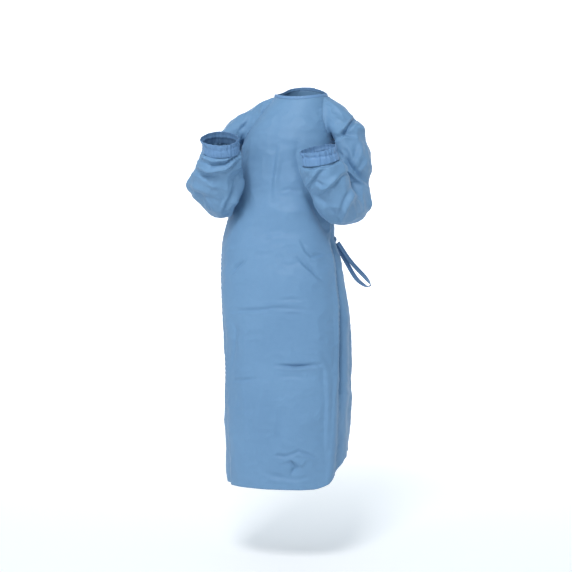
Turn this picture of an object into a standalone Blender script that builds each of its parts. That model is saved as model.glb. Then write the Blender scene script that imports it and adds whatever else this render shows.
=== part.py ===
"""Surgical gown, standing open as it is worn, with both forearms raised in front.

Metres, +Z up. The front of the gown faces -Y and its own left side is +X.
The origin is the middle of the neck opening, where a wearer's shoulders hold the gown up.
The body is three panels: a front, and two backs that wrap over each other behind.
The sleeves are raglan: each one runs up to the neck between the front and a back.
"""

import math
from collections import namedtuple

import bmesh
import bpy
from mathutils import Matrix, Vector

# Cloth
WALL = 0.0015
SEAM_GAP = 0.0005
LAYER = 0.006

# Mesh steps: rows above and below the underarm, columns, rings along a sleeve
YOKE_ROWS = 8
SKIRT_ROWS = 17
WAIST_SHARE = 0.34
WAIST_BUNCH = 0.45
FRONT_COLUMNS = 18
BACK_COLUMNS = 15
NECK_STEPS = 4
SLEEVE_AROUND = 2 * YOKE_ROWS + NECK_STEPS

# Neck opening, and the angles on it between which a sleeve reaches the neck
NECK_HALF_WIDTH = 0.083
NECK_FRONT = 0.076
NECK_BACK = 0.080
NECK_FRONT_Z = -0.013
NECK_SIDE_Z = -0.003
NECK_BACK_Z = 0.020
NECK_SEAM_FRONT = 68.0
NECK_SEAM_BACK = 112.0
BINDING_HEIGHT = 0.009
BINDING_LEAN = 0.0025
BINDING_WALL = 0.0022
BINDING_STEPS = 72
BINDING_ROWS = 2

# Seams of the body, as angles from the middle of the front
SIDE_SEAM_TOP = 84.0
SIDE_SEAM_HEM_RIGHT = 62.0
SIDE_SEAM_HEM_LEFT = 68.0
SIDE_SEAM_SWINGS_TO = 1.7
RAGLAN_FRONT_BOW = 14.0
RAGLAN_BACK_BOW = 22.0

# How far each back runs past the middle of the back, at the neck and at the hem
OUTER_FLAP_NECK = 18.0
OUTER_FLAP_HEM = 46.0
INNER_FLAP_NECK = 14.0
INNER_FLAP_HEM = 26.0
FLAP_SPREADS_TO = 0.7
FLAP_LIFT_FROM = 122.0
FLAP_LIFT_TO = 148.0

# Hem
HEM_Z = -1.190
HEM_LIFT = 0.100
HEM_RISE_LEFT = (36.0, 112.0)
HEM_RISE_RIGHT = (88.0, 170.0)

Section = namedtuple("Section", "z centre_x centre_y half_width front back square")
BODY = (
    Section(-0.155, -0.036, 0.000, 0.144, 0.122, 0.112, 2.5),
    Section(-0.250, -0.044, 0.000, 0.142, 0.128, 0.118, 2.4),
    Section(-0.320, -0.054, 0.000, 0.149, 0.128, 0.114, 2.3),
    Section(-0.385, -0.063, -0.004, 0.165, 0.130, 0.108, 2.3),
    Section(-0.445, -0.069, -0.006, 0.173, 0.138, 0.108, 2.3),
    Section(-0.500, -0.062, -0.006, 0.183, 0.146, 0.122, 2.3),
    Section(-0.560, -0.057, -0.006, 0.188, 0.152, 0.136, 2.4),
    Section(-0.650, -0.050, -0.004, 0.194, 0.156, 0.146, 2.4),
    Section(-0.780, -0.044, 0.000, 0.192, 0.158, 0.154, 2.5),
    Section(-1.000, -0.044, 0.000, 0.191, 0.158, 0.158, 2.5),
    Section(-1.090, -0.045, 0.000, 0.187, 0.156, 0.157, 2.4),
    Section(-1.150, -0.047, 0.000, 0.184, 0.153, 0.154, 2.3),
    Section(-1.200, -0.050, 0.000, 0.176, 0.150, 0.150, 2.3),
)
UNDERARM_Z = BODY[0].z
YOKE_SWELL = 0.42

# Long soft folds of the skirt: ridges are positive, troughs negative
Fold = namedtuple("Fold", "angle width begins full depth")
FOLDS = (
    Fold(56.0, 9.0, -0.70, -1.10, 0.008),
    Fold(72.0, 8.0, -0.50, -0.95, -0.009),
    Fold(-63.0, 7.0, -0.85, -1.15, -0.008),
    Fold(-42.0, 12.0, -0.85, -1.15, 0.005),
    Fold(108.0, 10.0, -0.55, -1.00, 0.006),
    Fold(128.0, 11.0, -0.55, -1.05, -0.012),
    Fold(152.0, 12.0, -0.50, -1.00, 0.010),
    Fold(-92.0, 12.0, -0.60, -1.10, 0.006),
    Fold(-118.0, 11.0, -0.55, -1.05, -0.012),
    Fold(-148.0, 13.0, -0.50, -1.00, 0.011),
)

# Arms: a sleeve's middle line runs straight from the shoulder ring, turns round the inner elbow
# at the bend radius, and runs to the wrist, where it leans towards its end direction
Arm = namedtuple("Arm", "sign shoulder elbow wrist wrist_way bend_radius shoulder_fall")
LEFT_ARM = Arm(1, Vector((0.154, -0.022, -0.112)), Vector((0.156, -0.106, -0.266)),
               Vector((0.104, -0.200, -0.203)), Vector((-0.15, -0.24, 0.96)), 0.072, 0.50)
RIGHT_ARM = Arm(-1, Vector((-0.232, 0.000, -0.145)), Vector((-0.243, -0.112, -0.270)),
                Vector((-0.191, -0.231, -0.170)), Vector((0.10, -0.45, 0.88)), 0.056, 0.36)

# Sizes along a sleeve: at 0 the shoulder ring, 1 and 2 the ends of the elbow's turn, 3 the cuff
Girth = namedtuple("Girth", "at half_side half_bend shift roll square")
LEFT_GIRTHS = (
    Girth(0.00, 0.043, 0.068, 0.000, 0.0, 2.1),
    Girth(0.60, 0.049, 0.066, 0.003, 0.0, 2.1),
    Girth(1.00, 0.046, 0.060, -0.004, 0.0, 2.2),
    Girth(1.35, 0.052, 0.053, -0.012, 0.0, 2.3),
    Girth(1.70, 0.060, 0.050, -0.014, 0.0, 2.3),
    Girth(2.00, 0.063, 0.052, -0.007, 0.0, 2.2),
    Girth(2.50, 0.065, 0.058, -0.002, 0.0, 2.2),
    Girth(2.88, 0.067, 0.062, 0.000, 0.0, 2.1),
    Girth(3.00, 0.057, 0.052, 0.000, 0.0, 2.0),
)
RIGHT_GIRTHS = (
    Girth(0.00, 0.048, 0.066, 0.000, 0.0, 2.1),
    Girth(0.60, 0.048, 0.056, 0.000, -6.0, 2.1),
    Girth(1.00, 0.056, 0.046, 0.006, -12.0, 2.0),
    Girth(1.50, 0.083, 0.040, 0.002, -25.0, 1.8),
    Girth(2.00, 0.082, 0.044, 0.002, -16.0, 1.8),
    Girth(2.40, 0.072, 0.050, 0.001, -6.0, 2.0),
    Girth(2.85, 0.062, 0.056, 0.000, 0.0, 2.1),
    Girth(3.00, 0.056, 0.050, 0.000, 0.0, 2.0),
)
# Soft dents and swags of the sleeves: where along and round, how far each way, how deep
Dent = namedtuple("Dent", "at turn at_reach turn_reach depth")
LEFT_DENTS = (
    Dent(0.25, -50.0, 0.30, 26.0, -0.006),
    Dent(0.62, -20.0, 0.16, 40.0, 0.004),
    Dent(1.02, 42.0, 0.17, 34.0, -0.020),
    Dent(1.32, 32.0, 0.13, 20.0, 0.006),
    Dent(2.05, 178.0, 0.30, 24.0, -0.004),
    Dent(2.45, 60.0, 0.18, 26.0, 0.005),
    Dent(2.72, 110.0, 0.14, 30.0, -0.005),
    Dent(0.50, 90.0, 0.25, 30.0, -0.005),
    Dent(0.14, 36.0, 0.24, 36.0, -0.010),
)
RIGHT_DENTS = (
    Dent(0.30, -60.0, 0.30, 30.0, -0.005),
    Dent(0.55, 90.0, 0.22, 34.0, -0.006),
    Dent(0.90, 50.0, 0.16, 30.0, 0.004),
    Dent(2.30, 100.0, 0.12, 40.0, 0.004),
    Dent(2.55, 90.0, 0.10, 46.0, -0.006),
    Dent(2.74, 84.0, 0.08, 50.0, 0.005),
    Dent(2.60, 200.0, 0.14, 36.0, -0.005),
    Dent(1.62, 75.0, 0.25, 42.0, -0.022),
    Dent(1.52, 165.0, 0.22, 32.0, -0.018),
    Dent(2.30, 190.0, 0.36, 34.0, 0.010),
)
SHOULDER_RINGS = 6
UPPER_RINGS = 3
TURN_RINGS = 8
FOREARM_RINGS = 6
CROWN_PULL = 0.80
SEAM_PULL = 0.45
WRIST_LEAN_FROM = 0.2

# Cuffs: gathered by an elastic run in the band
CUFF_LENGTH = 0.040
CUFF_GATHERS = 15
CUFF_STEPS_PER_GATHER = 4
CUFF_ROWS = 3
CUFF_WAVE = 0.0016
CUFF_WAVE_RUN = (0.06, 0.80)
CUFF_TAPER = 0.94

# Waist tie, knotted on the left hip, with one bow loop and two tails
TIE_WIDTH = 0.028
TIE_WALL = 0.0015
TIE_Z = -0.445
TIE_OFF = 0.0018
TIE_ROWS = 3
TIE_STEP = 6.0
TIE_SEWN_AT = 99.0
TIE_FLAP_END = 150.0
KNOT_ANGLE = 125.0
KNOT_REACH = 1.0
KNOT_SIZE = Vector((0.015, 0.024, 0.030))
KNOT_OFF = 0.0096
KNOT_TO_LOOP = 0.0134
LOOP_END = Vector((0.101, 0.022, -0.132))
LOOP_ACROSS = Vector((0.56, 0.64, 0.53))
LOOP_SPREAD = 0.009
LOOP_NECK = 0.35
LOOP_SAG = 0.012
LOOP_PINCH = 0.6
LOOP_POINT = 0.8
LOOP_STEPS = 22
LOOP_ROWS = 2
TAIL_TOPS = (125.0, 127.0)
TAIL_ANGLES = (128.0, 139.0)
TAIL_LENGTHS = (0.210, 0.170)
TAIL_OFFS = (0.0035, 0.0060)
TAIL_GAP = 0.0022
TAIL_SPREAD = 11.0
TAIL_PINCH = 0.5
TAIL_OPENS_BY = 0.3
TAIL_ROWS = 8

# Neck fastening: a hook-and-loop tab across the two backs
TAB_FROM = -206.0
TAB_TO = -168.0
TAB_LEVELS = (0.10, 0.26)
TAB_OFF = 0.0005
TAB_COLUMNS = 8

CLOTH_BLUE = (0.185, 0.360, 0.600, 1.0)
TRIM_BLUE = (0.150, 0.300, 0.560, 1.0)


def mix(a, b, share):
    return a * (1.0 - share) + b * share


def ease(value, start, end):
    """0 before start, 1 after end, smooth between them."""
    share = max(0.0, min(1.0, (value - start) / (end - start)))
    return share * share * (3.0 - 2.0 * share)


def curve(first, last, leave, arrive, share):
    """A smooth run from first to last that leaves and arrives with the two given slopes."""
    s, s2, s3 = share, share ** 2, share ** 3
    return (first * (2 * s3 - 3 * s2 + 1) + leave * (s3 - 2 * s2 + s)
            + last * (3 * s2 - 2 * s3) + arrive * (s3 - s2))


def read_table(rows, value):
    """A smooth curve through the rows of a table, read at a value of its first column."""
    last = len(rows) - 1
    order = 1 if rows[last][0] > rows[0][0] else -1
    here = 0
    while here < last - 1 and order * value > order * rows[here + 1][0]:
        here += 1
    a, b = rows[here], rows[here + 1]
    before, after = rows[max(here - 1, 0)], rows[min(here + 2, last)]
    span = b[0] - a[0]
    share = max(0.0, min(1.0, (value - a[0]) / span))
    result = []
    for column in range(len(a)):
        leave = span * (b[column] - before[column]) / (b[0] - before[0])
        arrive = span * (after[column] - a[column]) / (after[0] - a[0])
        result.append(curve(a[column], b[column], leave, arrive, share))
    return type(a)(*result)


def rounded(angle, square):
    """Unit sine and cosine of a superellipse, squarer as square grows past 2."""
    sine, cosine = math.sin(math.radians(angle)), math.cos(math.radians(angle))
    power = 2.0 / square
    return (math.copysign(abs(sine) ** power, sine), math.copysign(abs(cosine) ** power, cosine))


def neck_point(angle):
    across, ahead = rounded(angle, 2.0)
    depth = NECK_FRONT if ahead > 0 else NECK_BACK
    level = NECK_FRONT_Z if ahead > 0 else NECK_BACK_Z
    height = mix(NECK_SIDE_Z, level, ahead * ahead)
    return Vector((NECK_HALF_WIDTH * across, -depth * ahead, height))


def folds_at(angle, z):
    """How far the skirt's folds push the cloth out at an angle and height."""
    total = 0.0
    for fold in FOLDS:
        off = (angle - fold.angle + 180.0) % 360.0 - 180.0
        total += fold.depth * math.exp(-(off / fold.width) ** 2) * ease(z, fold.begins, fold.full)
    return total


def section_point(angle, z):
    row = read_table(BODY, z)
    across, ahead = rounded(angle, row.square)
    depth = row.front if ahead > 0 else row.back
    out = 1.0 + folds_at(angle, z) / row.half_width
    return Vector((row.centre_x + row.half_width * across * out, row.centre_y - depth * ahead * out, z))


def hem_height(angle):
    """The hem is level in front, and rises towards the back, where the tie draws it up."""
    turned = angle % 360.0
    if turned < 180.0:
        return HEM_Z + HEM_LIFT * ease(turned, *HEM_RISE_LEFT)
    return HEM_Z + HEM_LIFT * ease(360.0 - turned, *HEM_RISE_RIGHT)


def body_point(angle, level):
    """A point of the body: level 0 is the neck, 1 the underarm and 2 the hem."""
    if level <= 1.0:
        top, low = neck_point(angle), section_point(angle, UNDERARM_Z)
        facing = mix(YOKE_SWELL, 1.0, math.cos(math.radians(angle)) ** 2)
        swell = mix(level, math.sin(level * math.pi / 2), facing)
        point = top.lerp(low, swell)
        point.z = mix(top.z, low.z, level)
        return point
    z = mix(UNDERARM_Z, hem_height(angle), level - 1.0)
    return section_point(angle, z)


def body_out(angle, level):
    """The direction straight out of the body's cloth."""
    step = 0.01
    along = body_point(angle + 1.0, level) - body_point(angle - 1.0, level)
    down = body_point(angle, min(level + step, 2.0)) - body_point(angle, max(level - step, 0.0))
    return down.cross(along).normalized()


def level_of_height(angle, z):
    return 1.0 + (UNDERARM_Z - z) / (UNDERARM_Z - hem_height(angle))


def row_level(share):
    """Even rows above the underarm, and rows below it that lie closer round the waist."""
    row = share * (YOKE_ROWS + SKIRT_ROWS)
    if row <= YOKE_ROWS:
        return row / YOKE_ROWS
    fall = (row - YOKE_ROWS) / SKIRT_ROWS
    swing = math.sin(2 * math.pi * (fall - WAIST_SHARE)) + math.sin(2 * math.pi * WAIST_SHARE)
    return 1.0 + fall - WAIST_BUNCH * swing / (2 * math.pi)


def side_seam(sign, level):
    """The angle of the front's edge: the raglan seam above the underarm, the side seam below."""
    if level <= 1.0:
        bow = RAGLAN_FRONT_BOW * math.sin(math.pi * level)
        return sign * (mix(NECK_SEAM_FRONT, SIDE_SEAM_TOP, level ** 2) - bow)
    hem = SIDE_SEAM_HEM_LEFT if sign > 0 else SIDE_SEAM_HEM_RIGHT
    return sign * mix(SIDE_SEAM_TOP, hem, ease(level, 1.0, SIDE_SEAM_SWINGS_TO))


def back_seam(sign, level):
    """The angle of a back's outer edge, which meets the front's edge at the underarm."""
    if level < 1.0:
        bow = RAGLAN_BACK_BOW * math.sin(math.pi * level)
        return sign * (mix(NECK_SEAM_BACK, SIDE_SEAM_TOP, level ** 2) + bow)
    return side_seam(sign, level)


def across_gap(angle, level, sign):
    """An angle moved on by one seam gap, measured along the cloth."""
    speed = (body_point(angle + 0.5, level) - body_point(angle - 0.5, level)).length
    return angle + sign * SEAM_GAP / speed


def cloth_material(name, colour, roughness):
    material = bpy.data.materials.new(name)
    material.use_nodes = True
    shader = material.node_tree.nodes["Principled BSDF"]
    shader.inputs["Base Color"].default_value = colour
    shader.inputs["Roughness"].default_value = roughness
    shader.inputs["Metallic"].default_value = 0.0
    return material


def add_cloth(gown, name, material, place, columns, rows, tube=False, turned=False, wall=WALL):
    """A grid of columns and rows, laid on place(across, down), and given a wall on its inside."""
    mesh = bpy.data.meshes.new(name)
    sheet = bmesh.new()
    bmesh.ops.create_grid(sheet, x_segments=columns, y_segments=rows, size=0.5)
    for vertex in sheet.verts:
        across = round((vertex.co.x + 0.5) * columns) / columns
        down = round((0.5 - vertex.co.y) * rows) / rows
        vertex.co = place(across, down)
    if tube:
        bmesh.ops.remove_doubles(sheet, verts=sheet.verts, dist=0.00001)
    if turned:
        bmesh.ops.reverse_faces(sheet, faces=sheet.faces)
    bmesh.ops.triangulate(sheet, faces=sheet.faces, quad_method="SHORT_EDGE")
    sheet.to_mesh(mesh)
    sheet.free()
    mesh.materials.append(material)
    piece = bpy.data.objects.new(name, mesh)
    gown.objects.link(piece)
    solidify = piece.modifiers.new("Wall", "SOLIDIFY")
    solidify.thickness = wall
    solidify.offset = -1.0
    return piece


def add_front(gown, material):
    def place(across, down):
        level = row_level(down)
        angle = mix(side_seam(-1, level), side_seam(1, level), across)
        return body_point(angle, level)

    return add_cloth(gown, "front_panel", material, place, FRONT_COLUMNS, YOKE_ROWS + SKIRT_ROWS)


def outer_lift(angle):
    """The outer back and what is sewn to it rise clear of the inner back."""
    return LAYER * ease(-angle, FLAP_LIFT_FROM, FLAP_LIFT_TO)


def outer_back_point(angle, level):
    return body_point(angle, level) + body_out(angle, level) * outer_lift(angle)


def flap_end(sign, level):
    """The free edge of a back, past the middle of the back."""
    share = ease(level / 2.0, 0.0, FLAP_SPREADS_TO)
    if sign < 0:
        return -180.0 - mix(OUTER_FLAP_NECK, OUTER_FLAP_HEM, share)
    return 180.0 + mix(INNER_FLAP_NECK, INNER_FLAP_HEM, share)


def add_back(gown, name, material, sign):
    def place(across, down):
        level = row_level(down)
        seam = back_seam(sign, level)
        if level >= 1.0:
            seam = across_gap(seam, level, sign)
        angle = mix(seam, flap_end(sign, level), across)
        return outer_back_point(angle, level) if sign < 0 else body_point(angle, level)

    return add_cloth(gown, name, material, place, BACK_COLUMNS, YOKE_ROWS + SKIRT_ROWS, turned=sign < 0)


def armhole(sign):
    """The loop that a sleeve is sewn to: over the neck edge, down the back and up the front."""
    loop = []
    half = NECK_STEPS // 2
    for step in range(SLEEVE_AROUND):
        if step <= half:
            spot = (mix(90.0, NECK_SEAM_BACK, step / half), 0.0)
        elif step <= half + YOKE_ROWS:
            level = (step - half) / YOKE_ROWS
            spot = (abs(back_seam(1, level)), level)
        elif step < half + 2 * YOKE_ROWS:
            level = 1.0 - (step - half - YOKE_ROWS) / YOKE_ROWS
            spot = (side_seam(1, level), level)
        else:
            spot = (mix(NECK_SEAM_FRONT, 90.0, (step - half - 2 * YOKE_ROWS) / half), 0.0)
        loop.append(spot)
    points = [body_point(sign * angle, level) for angle, level in loop]
    middle = sum(points, Vector()) / len(points)
    moved = []
    for step, (angle, level) in enumerate(loop):
        tangent = (points[(step + 1) % len(points)] - points[step - 1]).normalized()
        inward = body_out(sign * angle, max(level, 0.02)).cross(tangent).normalized()
        if inward.dot(middle - points[step]) < 0:
            inward = -inward
        on_neck = level == 0.0 and NECK_SEAM_FRONT < angle < NECK_SEAM_BACK
        moved.append(points[step] if on_neck else points[step] + inward * SEAM_GAP)
    return moved


Frame = namedtuple("Frame", "centre side bend along")


def sleeve_frame(arm, at):
    """The middle, the outward side and the outside of the bend, at a place along a sleeve."""
    to_shoulder, to_wrist = arm.shoulder - arm.elbow, arm.wrist - arm.elbow
    normal = to_shoulder.cross(to_wrist).normalized()
    open_start = math.acos(arm.bend_radius / to_shoulder.length)
    open_end = math.acos(arm.bend_radius / to_wrist.length)
    start = Matrix.Rotation(-open_start, 3, normal) @ to_shoulder.normalized()
    end = Matrix.Rotation(open_end, 3, normal) @ to_wrist.normalized()
    turn = 2 * math.pi - math.atan2(start.cross(end).dot(normal), start.dot(end)) % (2 * math.pi)
    side = normal if normal.x * arm.sign > 0 else -normal
    turn_start, turn_end = arm.elbow + start * arm.bend_radius, arm.elbow + end * arm.bend_radius
    if at <= 1.0:
        return Frame(arm.shoulder.lerp(turn_start, at), side, start, (turn_start - arm.shoulder).normalized())
    if at <= 2.0:
        bend = Matrix.Rotation(-turn * (at - 1.0), 3, normal) @ start
        return Frame(arm.elbow + bend * arm.bend_radius, side, bend, bend.cross(normal))
    share = at - 2.0
    straight = arm.wrist - turn_end
    last = arm.wrist_way.normalized()
    centre = curve(turn_end, arm.wrist, straight, last * straight.length, share)
    along = straight.normalized().lerp(last, ease(share, WRIST_LEAN_FROM, 1.0)).normalized()
    bend = (end - along * end.dot(along)).normalized()
    outward = along.cross(bend)
    return Frame(centre, outward if outward.dot(side) > 0 else -outward, bend, along)


def dents_at(dents, at, turn):
    total = 0.0
    for dent in dents:
        off = (turn - dent.turn + 180.0) % 360.0 - 180.0
        total += dent.depth * math.exp(-((at - dent.at) / dent.at_reach) ** 2 - (off / dent.turn_reach) ** 2)
    return total


def ring_point(arm, girths, dents, at, turn):
    """A point on the ring of a sleeve: turn 0 is its outer side, and it goes round by the back."""
    frame = sleeve_frame(arm, at)
    girth = read_table(girths, at)
    back, out = rounded(turn, girth.square)
    roll = Matrix.Rotation(math.radians(girth.roll), 3, frame.along)
    push = 1.0 + dents_at(dents, at, turn) / girth.half_side
    return (frame.centre + roll @ frame.side * (girth.shift + girth.half_side * out * push)
            + roll @ frame.bend * girth.half_bend * back * push)


def add_sleeve(gown, name, material, arm, girths, dents):
    loop = armhole(arm.sign)
    rings = SHOULDER_RINGS + UPPER_RINGS + TURN_RINGS + FOREARM_RINGS

    def place(around, down):
        step = round(around * SLEEVE_AROUND) % SLEEVE_AROUND
        turn = 360.0 * step / SLEEVE_AROUND
        ring = round(down * rings)
        if ring >= SHOULDER_RINGS:
            ring -= SHOULDER_RINGS
            if ring <= UPPER_RINGS:
                return ring_point(arm, girths, dents, ring / UPPER_RINGS, turn)
            ring -= UPPER_RINGS
            if ring <= TURN_RINGS:
                return ring_point(arm, girths, dents, 1.0 + ring / TURN_RINGS, turn)
            return ring_point(arm, girths, dents, 2.0 + (ring - TURN_RINGS) / FOREARM_RINGS, turn)
        share = ring / SHOULDER_RINGS
        first, last = loop[step], ring_point(arm, girths, dents, 0.0, turn)
        reach = (last - first).length
        crown = 0.5 + 0.5 * math.cos(math.radians(turn))
        slope = Vector((arm.sign, 0.0, -arm.shoulder_fall)).normalized()
        leave = (last - first).lerp(slope * reach * CROWN_PULL, crown)
        arrive = (last - first).lerp(sleeve_frame(arm, 0.0).along * reach, SEAM_PULL)
        return curve(first, last, leave, arrive, share)

    return add_cloth(gown, name, material, place, SLEEVE_AROUND, rings, tube=True, turned=arm.sign < 0)


def add_cuff(gown, name, material, arm, girths):
    frame = sleeve_frame(arm, 3.0)
    girth = girths[-1]
    steps = CUFF_GATHERS * CUFF_STEPS_PER_GATHER

    def place(around, down):
        turn = 360.0 * (round(around * steps) % steps) / steps
        back, out = rounded(turn, girth.square)
        taper = mix(1.0, CUFF_TAPER, math.sin(down * math.pi / 2))
        gather = math.sin(math.radians(turn * CUFF_GATHERS))
        wave = CUFF_WAVE * gather * math.sin(math.pi * mix(*CUFF_WAVE_RUN, down))
        width, depth = girth.half_side * taper + wave, girth.half_bend * taper + wave
        rise = SEAM_GAP + down * CUFF_LENGTH
        return frame.centre + frame.along * rise + frame.side * width * out + frame.bend * depth * back

    return add_cloth(gown, name, material, place, steps, CUFF_ROWS, tube=True, turned=arm.sign < 0)


def add_binding(gown, material):
    first = flap_end(-1, 0.0)
    last = flap_end(1, 0.0)

    def place(across, down):
        angle = mix(first, last, across)
        edge = outer_back_point(angle, 0.0) if angle < -90.0 else body_point(angle, 0.0)
        inward = Vector((-edge.x, -edge.y, 0.0)).normalized()
        rise = SEAM_GAP + (1.0 - down) * BINDING_HEIGHT
        return edge + Vector((0.0, 0.0, rise)) + inward * (BINDING_LEAN * (1.0 - down))

    return add_cloth(gown, "neck_binding", material, place, BINDING_STEPS, BINDING_ROWS, wall=BINDING_WALL)


def add_tab(gown, material):
    def place(across, down):
        angle = mix(TAB_FROM, TAB_TO, across)
        level = mix(TAB_LEVELS[0], TAB_LEVELS[1], down)
        return body_point(angle, level) + body_out(angle, level) * (LAYER + TAB_OFF + TIE_WALL)

    return add_cloth(gown, "neck_tab", material, place, TAB_COLUMNS, TIE_ROWS, wall=TIE_WALL)


def waist_point(angle, z, off):
    level = level_of_height(angle, z)
    return body_point(angle, level) + body_out(angle, level) * off


def add_tie_band(gown, name, material, first, last, first_off, last_off):
    """A stretch of the tie that lies on the body between two angles."""
    columns = max(TIE_ROWS, round(abs(last - first) / TIE_STEP))

    def place(across, down):
        angle = mix(first, last, across)
        z = TIE_Z + TIE_WIDTH * (0.5 - down)
        off = mix(first_off, last_off, ease(across, 0.0, 1.0))
        return waist_point(angle, z, off + TIE_WALL)

    return add_cloth(gown, name, material, place, columns, TIE_ROWS, wall=TIE_WALL)


def knot_centre():
    return waist_point(KNOT_ANGLE, TIE_Z, TIE_OFF + LAYER + KNOT_OFF)


def add_knot(gown, material):
    mesh = bpy.data.meshes.new("tie_knot")
    lump = bmesh.new()
    bmesh.ops.create_icosphere(lump, subdivisions=2, radius=0.5)
    out = body_out(KNOT_ANGLE, level_of_height(KNOT_ANGLE, TIE_Z))
    facing = Matrix.Rotation(math.atan2(out.y, out.x), 3, "Z")
    bmesh.ops.scale(lump, vec=KNOT_SIZE, verts=lump.verts)
    bmesh.ops.rotate(lump, verts=lump.verts, cent=(0, 0, 0), matrix=facing)
    bmesh.ops.translate(lump, verts=lump.verts, vec=knot_centre())
    lump.to_mesh(mesh)
    lump.free()
    mesh.materials.append(material)
    piece = bpy.data.objects.new("tie_knot", mesh)
    gown.objects.link(piece)
    return piece


def add_loop(gown, material):
    """One bow loop: the strip runs out from the knot, turns round and comes back."""
    way = LOOP_END.normalized()
    start = knot_centre() + way * KNOT_TO_LOOP
    across_way = (LOOP_ACROSS - way * LOOP_ACROSS.dot(way)).normalized()
    broad = way.cross(across_way).normalized()

    def place(across, down):
        turn = math.pi * (across - 0.5)
        reach = math.cos(turn) ** LOOP_POINT
        bulge = mix(LOOP_NECK, 1.0, math.sin(math.pi * abs(math.cos(turn))))
        apart = LOOP_SPREAD * math.sin(turn) * bulge
        sag = Vector((0.0, 0.0, -LOOP_SAG * math.sin(math.pi * math.cos(turn))))
        width = TIE_WIDTH * mix(LOOP_PINCH, 1.0, math.cos(turn))
        return start + LOOP_END * reach + across_way * apart + sag + broad * width * (down - 0.5)

    return add_cloth(gown, "tie_loop", material, place, LOOP_STEPS, LOOP_ROWS, wall=TIE_WALL)


def tail_place(number):
    """A free end of the tie, which leaves the knot pinched and opens out as it hangs."""
    def place(across, down):
        z = TIE_Z - TIE_WIDTH * 0.5 - TAIL_GAP - down * TAIL_LENGTHS[number]
        opened = ease(down, 0.0, TAIL_OPENS_BY)
        angle = mix(TAIL_TOPS[number], TAIL_ANGLES[number], ease(down, 0.0, 1.0))
        width = TAIL_SPREAD * mix(TAIL_PINCH, 1.0, opened)
        return waist_point(angle + width * (across - 0.5), z, LAYER + TAIL_OFFS[number] + TIE_WALL)

    return place


def build():
    for item in list(bpy.data.objects):
        bpy.data.objects.remove(item, do_unlink=True)
    gown = bpy.data.collections.new("surgical_gown")
    bpy.context.scene.collection.children.link(gown)
    cloth = cloth_material("gown_cloth", CLOTH_BLUE, 0.75)
    trim = cloth_material("gown_trim", TRIM_BLUE, 0.70)
    add_front(gown, cloth)
    add_back(gown, "back_panel_right", cloth, -1)
    add_back(gown, "back_panel_left", cloth, 1)
    add_sleeve(gown, "sleeve_left", cloth, LEFT_ARM, LEFT_GIRTHS, LEFT_DENTS)
    add_sleeve(gown, "sleeve_right", cloth, RIGHT_ARM, RIGHT_GIRTHS, RIGHT_DENTS)
    add_cuff(gown, "cuff_left", trim, LEFT_ARM, LEFT_GIRTHS)
    add_cuff(gown, "cuff_right", trim, RIGHT_ARM, RIGHT_GIRTHS)
    add_binding(gown, trim)
    add_tab(gown, trim)
    on_flap = LAYER + TIE_OFF
    add_tie_band(gown, "tie_front", trim, TIE_SEWN_AT, KNOT_ANGLE - KNOT_REACH, TIE_OFF, on_flap)
    add_tie_band(gown, "tie_back", trim, KNOT_ANGLE + KNOT_REACH, TIE_FLAP_END, on_flap, on_flap)
    add_knot(gown, trim)
    add_loop(gown, trim)
    for number in range(len(TAIL_LENGTHS)):
        name = f"tie_tail_{number + 1}"
        add_cloth(gown, name, trim, tail_place(number), TIE_ROWS, TAIL_ROWS, wall=TIE_WALL)


build()
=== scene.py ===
import math
from collections import namedtuple

import bmesh
import bpy
import numpy as np
from mathutils import Matrix, Vector


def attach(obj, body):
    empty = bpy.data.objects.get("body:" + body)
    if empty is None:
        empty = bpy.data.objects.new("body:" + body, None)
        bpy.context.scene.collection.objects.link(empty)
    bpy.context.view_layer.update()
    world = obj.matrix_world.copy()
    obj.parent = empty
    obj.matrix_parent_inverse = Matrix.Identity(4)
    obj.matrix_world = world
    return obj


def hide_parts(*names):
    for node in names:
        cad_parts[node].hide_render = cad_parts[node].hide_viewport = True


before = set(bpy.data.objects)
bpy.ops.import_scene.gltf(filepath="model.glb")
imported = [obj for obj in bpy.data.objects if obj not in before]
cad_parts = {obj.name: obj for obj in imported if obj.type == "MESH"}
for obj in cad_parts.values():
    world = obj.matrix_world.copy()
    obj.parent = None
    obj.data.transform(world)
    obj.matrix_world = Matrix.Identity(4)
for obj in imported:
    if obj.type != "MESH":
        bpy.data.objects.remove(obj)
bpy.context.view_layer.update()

# Camera
# It stands five metres off, a little to the gown's left, at the height of the upper arms, and looks
# slightly down, so that the whole length of the gown fits the frame.
CAMERA_PLACE = Vector((1.080, -4.882, -0.250))
CAMERA_LENS = 102.4
CAMERA_SENSOR = 36.0
CAMERA_SWING = 13.0
CAMERA_TILT = 86.2
CAMERA_TURN = (Matrix.Rotation(math.radians(CAMERA_SWING), 3, "Z")
               @ Matrix.Rotation(math.radians(CAMERA_TILT), 3, "X"))
FRAME_PIXELS = 572

camera_data = bpy.data.cameras.new("camera")
camera_data.lens = CAMERA_LENS
camera_data.sensor_width = CAMERA_SENSOR
camera_data.clip_end = 200.0
camera = bpy.data.objects.new("camera", camera_data)
camera.matrix_world = Matrix.Translation(CAMERA_PLACE) @ CAMERA_TURN.to_4x4()
bpy.context.scene.collection.objects.link(camera)
bpy.context.scene.camera = camera


# Floor and light
# A white paper sweep lies well under the hem and rises far behind, where it shines by itself. The
# key light hangs high in front. Two wider, weaker ones stand at the picture's left and behind.
FLOOR_Z = -1.440
FLOOR_SIDE = 60.0
SWEEP_FAR = 12.0
SWEEP_RADIUS = 6.0
GLOW = {"From Min": -1.5, "From Max": 5.0, "To Min": 0.0, "To Max": 0.75}


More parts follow.
